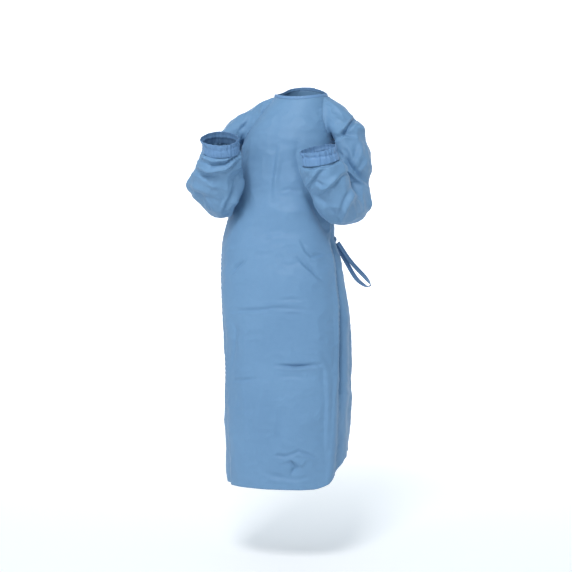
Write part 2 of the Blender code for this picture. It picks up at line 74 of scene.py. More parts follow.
class Socket:
    """An output whose number takes part in sums, on either side of the sign."""

    def __init__(self, nodes, output):
        self.nodes = nodes
        self.output = output

    def _math(self, operation, first, second):
        return self.nodes.add("ShaderNodeMath", {"operation": operation}, [first, second])

    def __add__(self, other):
        return self._math("ADD", self, other)

    def __radd__(self, other):
        return self._math("ADD", other, self)

    def __sub__(self, other):
        return self._math("SUBTRACT", self, other)

    def __rsub__(self, other):
        return self._math("SUBTRACT", other, self)

    def __mul__(self, other):
        return self._math("MULTIPLY", self, other)

    def __rmul__(self, other):
        return self._math("MULTIPLY", other, self)

    def __pow__(self, other):
        return self._math("POWER", self, other)

    def __rpow__(self, other):
        return self._math("POWER", other, self)


class Nodes:
    """A material's nodes, all added by one method."""

    def __init__(self, name):
        self.material = bpy.data.materials.new(name)
        self.material.use_nodes = True
        self.tree = self.material.node_tree
        self.shader = self.tree.nodes["Principled BSDF"]

    def add(self, kind, settings, inputs, output=0):
        node = self.tree.nodes.new(kind)
        for name, value in settings.items():
            if name == "stops":
                for stop, (place, colour) in zip(node.color_ramp.elements, value):
                    stop.position = place
                    stop.color = colour
            else:
                setattr(node, name, value)
        pairs = inputs.items() if isinstance(inputs, dict) else enumerate(inputs)
        for name, value in pairs:
            self.put(node.inputs[name], value)
        return Socket(self, node.outputs[output])

    def put(self, target, value):
        if isinstance(value, Socket):
            self.tree.links.new(value.output, target)
        else:
            target.default_value = value

    def noise(self, place, scale, detail, roughness=0.5, kind="FBM"):
        return self.add("ShaderNodeTexNoise", {"noise_type": kind},
                        {"Vector": place, "Scale": scale, "Detail": detail, "Roughness": roughness})

    def dress(self, sockets):
        """Sets the shader's sockets and gives back the material."""
        for name, value in sockets.items():
            self.put(self.shader.inputs[name], value)
        return self.material

    def bump(self, height, distance, strength=1.0, under=None):
        links = {"Strength": strength, "Distance": distance, "Height": height}
        if under is not None:
            links["Normal"] = under
        return self.add("ShaderNodeBump", {}, links)


def add_object(name, form, material):
    """A bmesh form becomes a smooth object of one material."""
    for face in form.faces:
        face.smooth = True
    mesh = bpy.data.meshes.new(name)
    form.to_mesh(mesh)
    form.free()
    mesh.materials.append(material)
    thing = bpy.data.objects.new(name, mesh)
    bpy.context.scene.collection.objects.link(thing)
    return thing


def add_light(name, place, aim, side, watts):
    lamp_data = bpy.data.lights.new(name, "AREA")
    lamp_data.shape = "SQUARE"
    lamp_data.size = side
    lamp_data.energy = watts
    lamp = bpy.data.objects.new(name, lamp_data)
    lamp.location = place
    lamp.rotation_euler = (Vector(aim) - Vector(place)).to_track_quat("-Z", "Y").to_euler()
    bpy.context.scene.collection.objects.link(lamp)


floor_grid = bmesh.new()
bmesh.ops.create_grid(floor_grid, x_segments=8, y_segments=120, size=FLOOR_SIDE / 2)
for vertex in floor_grid.verts:
    beyond = max(vertex.co.y - SWEEP_FAR, 0.0)
    turn = min(beyond / SWEEP_RADIUS, math.pi / 2)
    vertex.co.y = min(vertex.co.y, SWEEP_FAR) + SWEEP_RADIUS * math.sin(turn)
    vertex.co.z = FLOOR_Z + SWEEP_RADIUS * (1.0 - math.cos(turn)) + beyond - turn * SWEEP_RADIUS
paper = Nodes("floor_paper")
paper_place = paper.add("ShaderNodeTexCoord", {}, [], "Object")
paper_ahead = paper.add("ShaderNodeSeparateXYZ", {}, [paper_place], "Y")
paper_glow = paper.add("ShaderNodeMapRange", {"interpolation_type": "SMOOTHSTEP"},
                       {"Value": paper_ahead, **GLOW}, "Result")
paper_light = paper.add("ShaderNodeCombineColor", {}, [paper_glow, paper_glow, paper_glow])
floor_paper = paper.dress({"Base Color": (0.90, 0.90, 0.90, 1.0), "Roughness": 0.9,
                           "Emission Color": paper_light, "Emission Strength": 1.0})
floor = add_object("floor", floor_grid, floor_paper)

world = bpy.data.worlds.new("studio")
world.use_nodes = True
sky = world.node_tree.nodes["Background"]
sky.inputs["Color"].default_value = (0.74, 0.88, 1.0, 1.0)
sky.inputs["Strength"].default_value = 0.54
bpy.context.scene.world = world
bpy.context.scene.view_settings.view_transform = "Standard"
add_light("key_light", place=(0.15, -3.7, 2.5), aim=(0.0, 0.0, -0.3), side=1.2, watts=148.0)
add_light("fill_light", place=(-2.6, -3.4, 0.4), aim=(0.0, 0.0, -0.3), side=2.2, watts=26.0)
add_light("back_light", place=(-1.5, 3.4, 1.6), aim=(0.0, 0.0, -0.4), side=2.4, watts=26.0)


# Cloth
# The gown is made of a light blue nonwoven: three layers of fine fibres pressed together at small
# points. It is matt with a soft sheen, and it crinkles where it has been folded.
FIBRE_HEIGHT = 0.00008


def nonwoven(name, light, dark, roughness, crinkle, point_step):
    """Pressed fibres: mottled colour, bond points, loose fibres and small crinkles."""
    nodes = Nodes(name)
    place = nodes.add("ShaderNodeTexCoord", {}, [], "Object")
    flat = nodes.add("ShaderNodeTexCoord", {}, [], "UV")
    cloud = nodes.noise(place, scale=55.0, detail=6.0, roughness=0.65)
    drift = nodes.noise(place, scale=5.0, detail=2.0)
    tone = (cloud - 0.5) * 0.5 + (drift - 0.5) * 0.9 + 0.5
    colour = nodes.add("ShaderNodeValToRGB", {"stops": ((0.15, dark), (0.85, light))}, [tone])
    stretched = nodes.add("ShaderNodeMapping", {}, {"Vector": flat, "Scale": (420.0, 1500.0, 1.0)})
    fibre = nodes.noise(stretched, scale=1.0, detail=4.0)
    turned = nodes.add("ShaderNodeMapping", {},
                       {"Vector": flat, "Rotation": (0.0, 0.0, math.radians(45.0))})
    split = nodes.add("ShaderNodeSeparateXYZ", {}, [turned]).output.node
    column = Socket(nodes, split.outputs["X"])
    row = Socket(nodes, split.outputs["Y"])
    turns = 2 * math.pi / point_step
    point = (nodes.add("ShaderNodeMath", {"operation": "COSINE"}, [column * turns])
             * nodes.add("ShaderNodeMath", {"operation": "COSINE"}, [row * turns]))
    pressed = nodes.add("ShaderNodeMath", {"operation": "MAXIMUM"}, [point, 0.0]) ** 2.0
    ripple = nodes.noise(place, scale=17.0, detail=3.0, roughness=0.45, kind="RIDGED_MULTIFRACTAL")
    buckle = nodes.noise(place, scale=42.0, detail=3.0, roughness=0.55)
    broad = nodes.bump(ripple * 0.35 + buckle, crinkle)
    fine = nodes.bump(fibre * 0.6 - pressed, FIBRE_HEIGHT, 0.7, broad)
    return nodes.dress({
        "Base Color": colour, "Roughness": (fibre - 0.5) * 0.16 + roughness, "Normal": fine,
        "Specular IOR Level": 0.35, "Sheen Weight": 0.08, "Sheen Roughness": 0.45,
        "Sheen Tint": (0.80, 0.88, 1.0, 1.0)})


gown_cloth = nonwoven("gown_cloth", light=(0.146, 0.280, 0.448, 1.0), dark=(0.122, 0.242, 0.402, 1.0),
                      roughness=0.58, crinkle=0.0008, point_step=0.0030)
gown_trim = nonwoven("gown_trim", light=(0.142, 0.272, 0.462, 1.0), dark=(0.114, 0.228, 0.412, 1.0),
                     roughness=0.56, crinkle=0.0006, point_step=0.0022)


# Front
# One panel from the neck to the hem, cut on the fold, curved in at the sides above the underarm
# for the raglan sleeves. It hangs straight from the chest, and its hem is turned up and welded.
def rows_of(kind, *rows):
    """Rows of values become named tuples of one kind."""
    return tuple(kind(*row) for row in rows)


def mix(first, last, share):
    return first * (1.0 - share) + last * share


def ease(value, start, end):
    """0 before start, 1 after end, smooth between them."""
    share = np.clip((value - start) / (end - start), 0.0, 1.0)
    return share * share * (3.0 - 2.0 * share)


def hermite(start, leave, end, arrive, s):
    """The place at share s of a curve from start to end, with the slopes leave and arrive."""
    return (start * (2 * s**3 - 3 * s**2 + 1) + leave * (s**3 - 2 * s**2 + s)
            + end * (3 * s**2 - 2 * s**3) + arrive * (s**3 - s**2))


def rows_through(rows, value):
    """Smooth curves through the columns of a table, read at many values of its first column."""
    table = np.array(sorted(rows), float)
    key, count = table[:, 0], len(table)
    after = np.minimum(np.arange(count) + 1, count - 1)
    before = np.maximum(np.arange(count) - 1, 0)
    slopes = (table[after] - table[before]) / (key[after] - key[before])[:, None]
    value = np.clip(value, key[0], key[-1])
    here = np.clip(np.searchsorted(key, value) - 1, 0, count - 2)
    span = (key[here + 1] - key[here])[..., None]
    share = (value - key[here])[..., None] / span
    read = hermite(table[here], slopes[here] * span, table[here + 1], slopes[here + 1] * span, share)
    return np.moveaxis(read, -1, 0)[1:]


def rounded(angle, square):
    """Unit sine and cosine of a superellipse, squarer as square grows past 2."""
    sine, cosine = np.sin(np.radians(angle)), np.cos(np.radians(angle))
    power = 2.0 / square
    return np.copysign(np.abs(sine) ** power, sine), np.copysign(np.abs(cosine) ** power, cosine)


def bell(value, middle, width):
    """1 at the middle, falling off smoothly on both sides."""
    return np.exp(-((value - middle) / width) ** 2)


def degrees_off(angle, middle):
    """Degrees from the middle to an angle, the short way round."""
    return (angle - middle + 180.0) % 360.0 - 180.0


def unit(vectors):
    return vectors / np.maximum(np.linalg.norm(vectors, axis=-1, keepdims=True), 1e-9)


def on_view(points):
    """Where points show in the camera's frame: pixels from the left and pixels from the top."""
    local = (points - np.array(CAMERA_PLACE)) @ np.array(CAMERA_TURN)
    scale = CAMERA_LENS / CAMERA_SENSOR * FRAME_PIXELS / -local[..., 2]
    middle = FRAME_PIXELS / 2
    return np.stack([middle + local[..., 0] * scale, middle - local[..., 1] * scale], -1)


FACING = (0.02, 0.30)


def facing(points, normals):
    """1 where the cloth faces the camera, 0 where it turns away."""
    return ease((unit(np.array(CAMERA_PLACE) - points) * normals).sum(-1), *FACING)


Crease = namedtuple("Crease", "line width height lap")
MILLIMETRE = 0.001
RIDGE_POWER = 1.3
LEAN_PEAK = 2.33
END_POWER = 0.6
END_CLIP = (0.03, 0.97)


def crease_height(spots, creases):
    """Ridges and troughs along lines: each is laid over the spots, and fades out at its ends.
    Lines and widths are in the spots' own units, heights in millimetres. A lap towards 1 or -1
    makes one side of a crease a ridge and the other a trough, as where cloth folds on itself."""
    total = np.zeros(spots.shape[:-1])
    for crease in creases:
        line = np.array(crease.line, float)
        lengths = np.linalg.norm(np.diff(line, axis=0), axis=1)
        run = np.concatenate([[0.0], np.cumsum(lengths)]) / lengths.sum()
        nearest = np.full(total.shape, 1e9)
        signed, along = np.zeros(total.shape), np.zeros(total.shape)
        for index, (start, end) in enumerate(zip(line[:-1], line[1:])):
            way = (end - start) / lengths[index]
            off = spots - start
            share = np.clip((off @ way) / lengths[index], 0.0, 1.0)
            gap = off - share[..., None] * (end - start)
            distance = np.linalg.norm(gap, axis=-1)
            side = np.sign(off[..., 0] * way[1] - off[..., 1] * way[0])
            closer = distance < nearest
            nearest = np.where(closer, distance, nearest)
            signed = np.where(closer, distance * side, signed)
            along = np.where(closer, mix(run[index], run[index + 1], share), along)
        reach = nearest / crease.width
        ridge = np.exp(-reach ** RIDGE_POWER)
        lean = signed / crease.width * np.exp(-reach ** 2) * LEAN_PEAK
        ends = np.sin(np.pi * np.clip(along, *END_CLIP)) ** END_POWER
        section = (1.0 - abs(crease.lap)) * ridge + crease.lap * lean
        total += crease.height * MILLIMETRE * ends * section
    return total


CRUMPLE_WAVES = 14
CRUMPLE_SIZES = (0.6, 1.7)
CRUMPLE_LEVEL = 0.4


def crumple(points, size, seed):
    """Soft random creases of about one size, the same across a seam from piece to piece."""
    waves = np.random.default_rng(seed)
    total = np.zeros(points.shape[:-1])
    for _ in range(CRUMPLE_WAVES):
        way = unit(waves.normal(size=3)) * 2 * np.pi / (size * waves.uniform(*CRUMPLE_SIZES))
        total += np.sin(points @ way + waves.uniform(0.0, 2 * np.pi))
    total /= math.sqrt(CRUMPLE_WAVES / 2.0)
    return 1.0 - np.abs(total)


def crumples(points, layers):
    """Layers of such creases together: each has a height, a size and a seed."""
    return sum(height * (crumple(points, size, seed) - CRUMPLE_LEVEL) for height, size, seed in layers)


def grid_normals(points, tube):
    """The way out of a grid of points: across runs to the right and down runs downwards."""
    if tube:
        ring = np.concatenate([points[:, -2:-1], points, points[:, 1:2]], axis=1)
        across = np.gradient(ring, axis=1)[:, 1:-1]
    else:
        across = np.gradient(points, axis=1)
    return unit(np.cross(np.gradient(points, axis=0), across))


WELD = 0.000005


def cut_cloth(name, columns, rows, place, finish, material, wall, flat, tube=False, turned=False):
    """A grid laid on place(across, down), moved by finish(points, normals, across, down), with
    its flat size as UV coordinates in metres, and a wall on its inside."""
    sheet = bmesh.new()
    sheet.loops.layers.uv.new("cloth")
    bmesh.ops.create_grid(sheet, x_segments=columns, y_segments=rows, size=0.5, calc_uvs=True)
    spots = np.array([vertex.co[:2] for vertex in sheet.verts])
    column = np.rint((spots[:, 0] + 0.5) * columns).astype(int)
    row = np.rint((0.5 - spots[:, 1]) * rows).astype(int)
    across, down = np.meshgrid(np.arange(columns + 1) / columns, np.arange(rows + 1) / rows)
    points = place(across, down)
    normals = grid_normals(points, tube) * (-1.0 if turned else 1.0)
    points = finish(points, normals, across, down)
    if tube:
        points[:, -1] = points[:, 0]
    for vertex, x, y in zip(sheet.verts, column, row):
        vertex.co = points[y, x]
    if tube:
        bmesh.ops.remove_doubles(sheet, verts=sheet.verts, dist=WELD)
    if turned:
        bmesh.ops.reverse_faces(sheet, faces=sheet.faces)
    piece = add_object(name, sheet, material)
    cloth = piece.data.uv_layers["cloth"].data
    spread = np.zeros(len(cloth) * 2, np.float32)
    cloth.foreach_get("uv", spread)
    spread = spread.reshape(-1, 2) * np.array(flat, np.float32)
    cloth.foreach_set("uv", spread.ravel())
    thick = piece.modifiers.new("wall", "SOLIDIFY")
    thick.thickness = wall
    thick.offset = -1.0
    return piece


Section = namedtuple("Section", "z centre_x centre_y half_width front back square")
BODY = rows_of(
    Section,
    (-0.155, -0.036, 0.000, 0.144, 0.122, 0.112, 2.5),
    (-0.250, -0.044, 0.000, 0.142, 0.128, 0.118, 2.4),
    (-0.320, -0.054, 0.000, 0.149, 0.128, 0.114, 2.3),
    (-0.385, -0.063, -0.004, 0.165, 0.130, 0.108, 2.3),
    (-0.445, -0.069, -0.006, 0.173, 0.138, 0.108, 2.3),
    (-0.500, -0.062, -0.006, 0.183, 0.146, 0.122, 2.3),
    (-0.560, -0.057, -0.006, 0.188, 0.152, 0.136, 2.4),
    (-0.650, -0.050, -0.004, 0.194, 0.156, 0.146, 2.4),
    (-0.780, -0.044, 0.000, 0.192, 0.158, 0.154, 2.5),
    (-1.000, -0.044, 0.000, 0.191, 0.158, 0.158, 2.5),
    (-1.090, -0.045, 0.000, 0.187, 0.156, 0.157, 2.4),
    (-1.150, -0.047, 0.000, 0.184, 0.153, 0.154, 2.3),
    (-1.200, -0.050, 0.000, 0.176, 0.150, 0.150, 2.3),
)
Fold = namedtuple("Fold", "angle width begins full depth")
FOLDS = rows_of(
    Fold,
    (56.0, 9.0, -0.70, -1.10, 0.008),
    (72.0, 8.0, -0.50, -0.95, -0.009),
    (-63.0, 7.0, -0.85, -1.15, -0.008),
    (-42.0, 12.0, -0.85, -1.15, 0.005),
    (108.0, 10.0, -0.55, -1.00, 0.006),
    (128.0, 11.0, -0.55, -1.05, -0.012),
    (152.0, 12.0, -0.50, -1.00, 0.010),
    (-92.0, 12.0, -0.60, -1.10, 0.006),
    (-118.0, 11.0, -0.55, -1.05, -0.012),
    (-148.0, 13.0, -0.50, -1.00, 0.011),
)
NECK_SIZE = (0.083, 0.076, 0.080)
NECK_HEIGHTS = (-0.013, -0.003, 0.020)
NECK_SEAMS = (68.0, 112.0)
UNDERARM_Z = -0.155
YOKE_SWELL = 0.42
SIDE_SEAM_TOP = 84.0
SIDE_SEAM_HEMS = {1: 68.0, -1: 62.0}
RAGLAN_BOWS = (14.0, 22.0)
HEM_Z = -1.190
HEM_LIFT = 0.100
HEM_RISES = {1: (36.0, 112.0), -1: (88.0, 170.0)}
CLOTH_WALL = 0.0007
SEAM_GAP = 0.00015
HEM_TURN = 0.018
HEM_PROUD = 0.0006
HEM_STEP = 0.002
WELD_DEPTH = 0.0008
WELD_WIDTH = 0.0016
YOKE_SHARE = 0.16
SEAM_DEPTH = 0.0011
SEAM_WIDTH = 0.0018
SEAM_AT = 0.0035
SEAM_CALM = 0.014
PUCKER_HEIGHT = 0.0008
PUCKER_STEP = 0.0026
PUCKER_DRIFT = 0.017
PUCKER_AT = 0.009
PUCKER_SPREAD = 0.00006
BODY_CRUMPLES = ((0.0021, 0.16, 3), (0.0008, 0.05, 5))
NECK_CALM = 0.06
FRONT_GIRTH = 2.4
BODY_LENGTH = 1.2


def neck_point(angle):
    across, ahead = rounded(angle, 2.0)
    depth = np.where(ahead > 0, NECK_SIZE[1], NECK_SIZE[2])
    height = mix(NECK_HEIGHTS[1], np.where(ahead > 0, NECK_HEIGHTS[0], NECK_HEIGHTS[2]), ahead**2)
    return np.stack([NECK_SIZE[0] * across, -depth * ahead, height], -1)


def section_point(angle, z):
    centre_x, centre_y, half_width, front, back, square = rows_through(BODY, z)
    across, ahead = rounded(angle, square)
    depth = np.where(ahead > 0, front, back)
    out = np.ones_like(angle)
    for fold in FOLDS:
        grown = ease(-z, -fold.begins, -fold.full)
        shape = bell(degrees_off(angle, fold.angle), 0.0, fold.width)
        out = out + fold.depth * shape * grown / half_width
    return np.stack([centre_x + half_width * across * out, centre_y - depth * ahead * out, z], -1)


def hem_height(angle):
    """The hem is level in front and rises behind, where the tie draws it up."""
    turned = angle % 360.0
    left, right = ease(turned, *HEM_RISES[1]), ease(360.0 - turned, *HEM_RISES[-1])
    return HEM_Z + HEM_LIFT * np.where(turned < 180.0, left, right)


def body_point(angle, level):
    """A point of the body: level 0 is the neck, 1 the underarm and 2 the hem."""
    level = np.broadcast_to(level, np.shape(angle)).astype(float)
    top = neck_point(angle)
    low = section_point(angle, np.full(np.shape(angle), UNDERARM_Z))
    above = np.clip(level, 0.0, 1.0)
    square_on = mix(YOKE_SWELL, 1.0, np.cos(np.radians(angle)) ** 2)
    swell = mix(above, np.sin(above * np.pi / 2), square_on)[..., None]
    yoke = top * (1.0 - swell) + low * swell
    yoke[..., 2] = mix(top[..., 2], low[..., 2], above)
    z = mix(UNDERARM_Z, hem_height(angle), np.clip(level - 1.0, 0.0, 1.0))
    return np.where((level <= 1.0)[..., None], yoke, section_point(angle, z))


def body_out(angle, level):
    """The way straight out of the body's cloth."""
    across = body_point(angle + 1.0, level) - body_point(angle - 1.0, level)
    below, above = np.minimum(level + 0.01, 2.0), np.maximum(level - 0.01, 0.0)
    return unit(np.cross(body_point(angle, below) - body_point(angle, above), across))


def side_seam(sign, level):
    """The angle of a front edge: the raglan seam above the underarm, the side seam below it."""
    above = np.clip(level, 0.0, 1.0)
    raglan = mix(NECK_SEAMS[0], SIDE_SEAM_TOP, above**2) - RAGLAN_BOWS[0] * np.sin(np.pi * above)
    below = mix(SIDE_SEAM_TOP, SIDE_SEAM_HEMS[sign], ease(level, 1.0, 1.7))
    return sign * np.where(level <= 1.0, raglan, below)


def even_levels(down):
    """Levels for even rows: the yoke takes the share that its length has."""
    return np.where(down < YOKE_SHARE, down / YOKE_SHARE, 1.0 + (down - YOKE_SHARE) / (1.0 - YOKE_SHARE))


def turned_hem(points, normals, fall):
    """The hem's turning stands a little proud, with a groove along its weld."""
    proud = HEM_PROUD * ease(fall, -HEM_TURN - HEM_STEP, -HEM_TURN)
    weld = -WELD_DEPTH * bell(fall, -HEM_TURN, WELD_WIDTH)
    return points + normals * (proud + weld)[..., None]


def seamed(height, side, run):
    """Creases fade out at a sewn edge, where the cloth dips to its seam and puckers beside it."""
    waves = np.sin(run / PUCKER_STEP + 2.0 * np.sin(run / PUCKER_DRIFT))
    pucker = PUCKER_HEIGHT * waves * np.exp(-(side - PUCKER_AT) ** 2 / PUCKER_SPREAD)
    dip = -SEAM_DEPTH * bell(side, SEAM_AT, SEAM_WIDTH) + pucker
    return height * ease(side, 0.0, SEAM_CALM) + dip


FRONT_CREASES = rows_of(
    Crease,
    (((279, 146), (277, 160), (274, 180), (273, 198)), 2.6, 8.9, 0.5),
    (((281, 192), (289, 190), (298, 192)), 1.8, -6.0, 0.4),
    (((252, 135), (250, 160), (252, 190), (258, 210)), 6.5, 7.4, 0.0),
    (((298, 140), (296, 155), (300, 172), (306, 190)), 4.5, -9.1, 0.0),
    (((306, 192), (314, 205), (322, 222), (329, 236)), 6.0, -15.8, 0.2),
    (((262, 205), (285, 212), (312, 212)), 9.0, 9.6, 0.0),
    (((253, 237), (280, 233), (312, 239)), 5.0, -6.2, 0.3),
    (((233, 273), (238, 267), (245, 262)), 2.0, -8.4, 0.5),
    (((279, 264), (289, 266), (301, 263)), 2.8, -4.8, 0.2),
    (((301, 243), (305, 251), (311, 257), (328, 255)), 2.1, -7.7, 0.5),
    (((299, 260), (308, 268), (314, 274), (321, 281)), 2.4, -8.9, 0.5),
    (((284, 244), (300, 256), (313, 269)), 7.0, -6.0, 0.0),
    (((232, 312), (258, 311), (276, 309), (305, 310)), 1.9, -7.0, 0.5),
    (((280, 301), (290, 300), (301, 301)), 1.8, -4.3, 0.4),
    (((277, 367), (295, 368), (319, 366)), 2.0, -13.5, 0.5),
    (((279, 378), (295, 377), (304, 379)), 2.4, -4.6, 0.3),
    (((231, 382), (244, 381), (258, 379)), 1.8, -6.0, 0.5),
    (((230, 318), (235, 330), (234, 346), (230, 370)), 2.2, -6.0, 0.3),
    (((265, 380), (259, 417), (257, 446)), 6.5, 5.0, 0.0),
    (((280, 408), (278, 430), (276, 451)), 3.4, -5.3, 0.3),
    (((312, 350), (325, 370), (327, 405), (326, 457)), 3.4, 6.5, 0.4),
    (((274, 456), (284, 458), (289, 456)), 1.9, -7.2, 0.5),
    (((289, 457), (299, 453), (308, 456), (316, 459)), 1.9, -7.2, 0.5),
    (((290, 460), (295, 468), (291, 475)), 2.2, -10.8, 0.0),
    (((281, 463), (291, 460), (301, 466), (307, 461)), 2.0, 7.7, 0.2),
    (((258, 471), (273, 477), (295, 481), (312, 479)), 2.8, -6.2, 0.4),
    (((245, 330), (243, 380), (246, 430), (243, 485)), 6.5, 6.1, 0.0),
    (((331, 243), (336, 300), (337, 350), (333, 430), (327, 484)), 3.4, 7.2, 0.3),
)


def front_place(across, down):
    level = even_levels(down)
    angle = mix(side_seam(-1, level), side_seam(1, level), across)
    return body_point(angle, level)


def front_finish(points, normals, across, down):
    shown = facing(points, normals)
    height = crease_height(on_view(points), FRONT_CREASES) * shown
    height = height + ease(down, 0.0, NECK_CALM) * crumples(points, BODY_CRUMPLES)
    width = 0.5 * np.linalg.norm(points[:, -1:] - points[:, :1], axis=-1)
    side = np.minimum(across, 1.0 - across) * width * FRONT_GIRTH
    moved = points + normals * seamed(height, side, down * BODY_LENGTH)[..., None]
    return turned_hem(moved, normals, HEM_Z - points[..., 2])


front = cut_cloth("front", 130, 340, front_place, front_finish, gown_cloth, CLOTH_WALL, (0.46, 1.20))
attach(front, "root")
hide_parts("front_panel")


# Backs
# Two panels that wrap over each other behind, the right one outside. The tie draws them towards
# the left hip, so the hem rises there, and folds fan out from the knot.
FLAPS = {-1: (18.0, 46.0), 1: (14.0, 26.0)}
FLAP_LIFTS = (122.0, 148.0)
UNDER_FLAP = (140.0, 165.0)
BACK_WIDTH = 0.34
TALL = 340.0
LAYER = 0.006
RIGHT_BACK_CREASES = rows_of(
    Crease,
    (((-235, -0.44), (-205, -0.47), (-165, -0.56), (-125, -0.72)), 8.0, 6.5, 0.3),
    (((-232, -0.46), (-200, -0.56), (-168, -0.76), (-150, -1.00)), 9.0, 7.8, 0.4),
    (((-230, -0.47), (-206, -0.66), (-192, -0.88), (-186, -1.08)), 8.0, 6.5, 0.4),
    (((-228, -0.43), (-190, -0.38), (-150, -0.33), (-112, -0.25)), 7.0, 5.2, 0.3),
    (((-218, -0.42), (-196, -0.30), (-182, -0.18)), 7.0, 5.2, -0.3),
    (((-140, -0.30), (-128, -0.42), (-120, -0.56)), 6.0, -5.2, 0.2),
    (((-104, -0.20), (-112, -0.30), (-124, -0.38)), 5.0, 3.9, 0.4),
    (((-110, -0.62), (-106, -0.85), (-110, -1.10)), 7.0, 5.2, 0.2),
)
LEFT_BACK_CREASES = rows_of(
    Crease,
    (((123, -0.47), (116, -0.60), (108, -0.80), (104, -1.04)), 6.0, 5.2, 0.4),
    (((127, -0.48), (130, -0.66), (136, -0.88), (140, -1.08)), 6.0, 5.2, -0.4),
    (((125, -0.42), (114, -0.34), (104, -0.22)), 6.0, 5.2, 0.3),
    (((130, -0.42), (142, -0.32), (156, -0.20)), 6.0, 5.2, -0.3),
    (((89, -0.36), (85, -0.48), (80.5, -0.62), (77, -0.78), (76, -0.95)), 4.6, -27.0, 0.0),
    (((100, -0.42), (94, -0.60), (90, -0.78), (87, -1.02)), 5.0, 7.2, 0.2),
)


def back_seam(sign, level):
    """The angle of a back's outer edge, which is sewn to the sleeve and then to the front."""
    above = np.clip(level, 0.0, 1.0)
    raglan = mix(NECK_SEAMS[1], SIDE_SEAM_TOP, above**2) + RAGLAN_BOWS[1] * np.sin(np.pi * above)
    return np.where(level < 1.0, sign * raglan, side_seam(sign, level))


def flap_end(sign, level):
    """The angle of a back's free edge, beyond the middle of the back."""
    share = ease(level / 2.0, 0.0, 0.7)
    return sign * (180.0 + mix(FLAPS[sign][0], FLAPS[sign][1], share))


def outer_back_point(angle, level):
    """A point of the right back, which lifts off the body where it laps over the left one."""
    lift = LAYER * ease(-angle, *FLAP_LIFTS)
    return body_point(angle, level) + body_out(angle, level) * lift[..., None]


def add_back(name, node, sign, creases, flat):
    """A back's creases are lines of angles and heights, with a metre as long as TALL degrees."""
    def angles(across, down):
        level = even_levels(down)
        return mix(back_seam(sign, level), flap_end(sign, level), across), level

    def place(across, down):
        angle, level = angles(across, down)
        return outer_back_point(angle, level) if sign < 0 else body_point(angle, level)

    def finish(points, normals, across, down):
        angle, level = angles(across, down)
        spots = np.stack([angle, points[..., 2] * TALL], -1)
        lines = [crease._replace(line=np.array(crease.line) * (1.0, TALL)) for crease in creases]
        height = crease_height(spots, lines)
        covered = ease(angle, *UNDER_FLAP) if sign > 0 else 0.0
        height = np.where(height > 0, height * (1.0 - covered), height)
        height = height + crumples(points, BODY_CRUMPLES) * ease(down, 0.0, NECK_CALM)
        moved = points + normals * seamed(height, across * BACK_WIDTH, down * BODY_LENGTH)[..., None]
        return turned_hem(moved, normals, hem_height(angle) - points[..., 2])

    piece = cut_cloth(name, 96, 280, place, finish, gown_cloth, CLOTH_WALL, flat, turned=sign < 0)
    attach(piece, "root")
    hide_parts(node)


add_back("back_right", "back_panel_right", -1, RIGHT_BACK_CREASES, (0.50, 1.20))
add_back("back_left", "back_panel_left", 1, LEFT_BACK_CREASES, (0.44, 1.20))


# Sleeves
# Each sleeve is one raglan piece, from the neck over the shoulder to the wrist, with its seam
# under the arm. The elbow is bent, so the cloth folds inside it and stands off in a point outside.
Arm = namedtuple("Arm", "sign shoulder elbow wrist wrist_way bend_radius shoulder_fall")
LEFT_ARM = Arm(1, Vector((0.154, -0.022, -0.112)), Vector((0.156, -0.106, -0.266)),
               Vector((0.104, -0.200, -0.203)), Vector((-0.15, -0.24, 0.96)), 0.072, 0.50)
RIGHT_ARM = Arm(-1, Vector((-0.232, 0.000, -0.145)), Vector((-0.243, -0.112, -0.270)),
                Vector((-0.191, -0.231, -0.170)), Vector((0.10, -0.45, 0.88)), 0.056, 0.36)
Girth = namedtuple("Girth", "at half_side half_bend shift roll square")
LEFT_GIRTHS = rows_of(
    Girth,
    (0.00, 0.043, 0.068, 0.000, 0.0, 2.1),
    (0.60, 0.049, 0.066, 0.003, 0.0, 2.1),
    (1.00, 0.046, 0.060, -0.004, 0.0, 2.2),
    (1.35, 0.052, 0.053, -0.012, 0.0, 2.3),
    (1.70, 0.060, 0.050, -0.014, 0.0, 2.3),
    (2.00, 0.063, 0.052, -0.007, 0.0, 2.2),
    (2.50, 0.065, 0.058, -0.002, 0.0, 2.2),
    (2.88, 0.067, 0.062, 0.000, 0.0, 2.1),
    (3.00, 0.057, 0.052, 0.000, 0.0, 2.0),
)
RIGHT_GIRTHS = rows_of(
    Girth,
    (0.00, 0.048, 0.066, 0.000, 0.0, 2.1),
    (0.60, 0.048, 0.056, 0.000, -6.0, 2.1),
    (1.00, 0.056, 0.046, 0.006, -12.0, 2.0),
    (1.50, 0.083, 0.040, 0.002, -25.0, 1.8),
    (2.00, 0.082, 0.044, 0.002, -16.0, 1.8),
    (2.40, 0.072, 0.050, 0.001, -6.0, 2.0),
    (2.85, 0.062, 0.056, 0.000, 0.0, 2.1),
    (3.00, 0.056, 0.050, 0.000, 0.0, 2.0),
)
SLEEVE_RINGS = (6, 3, 8, 6)
AROUND = 20
CROWN_PULL = 0.80
SEAM_PULL = 0.45
WRIST_LEAN_FROM = 0.2
ELBOW_CHANGE = (1.35, 1.65)
SLEEVE_CRUMPLES = ((0.0030, 0.09, 11), (0.0009, 0.035, 12))
SLEEVE_CALM = 0.05
SLEEVE_LENGTH = 0.75
ARMHOLE_LENGTH = 0.9
PLEATS = 22.0
PLEAT_DEPTH = 0.0016
PLEAT_PLACE = (2.70, 2.98)


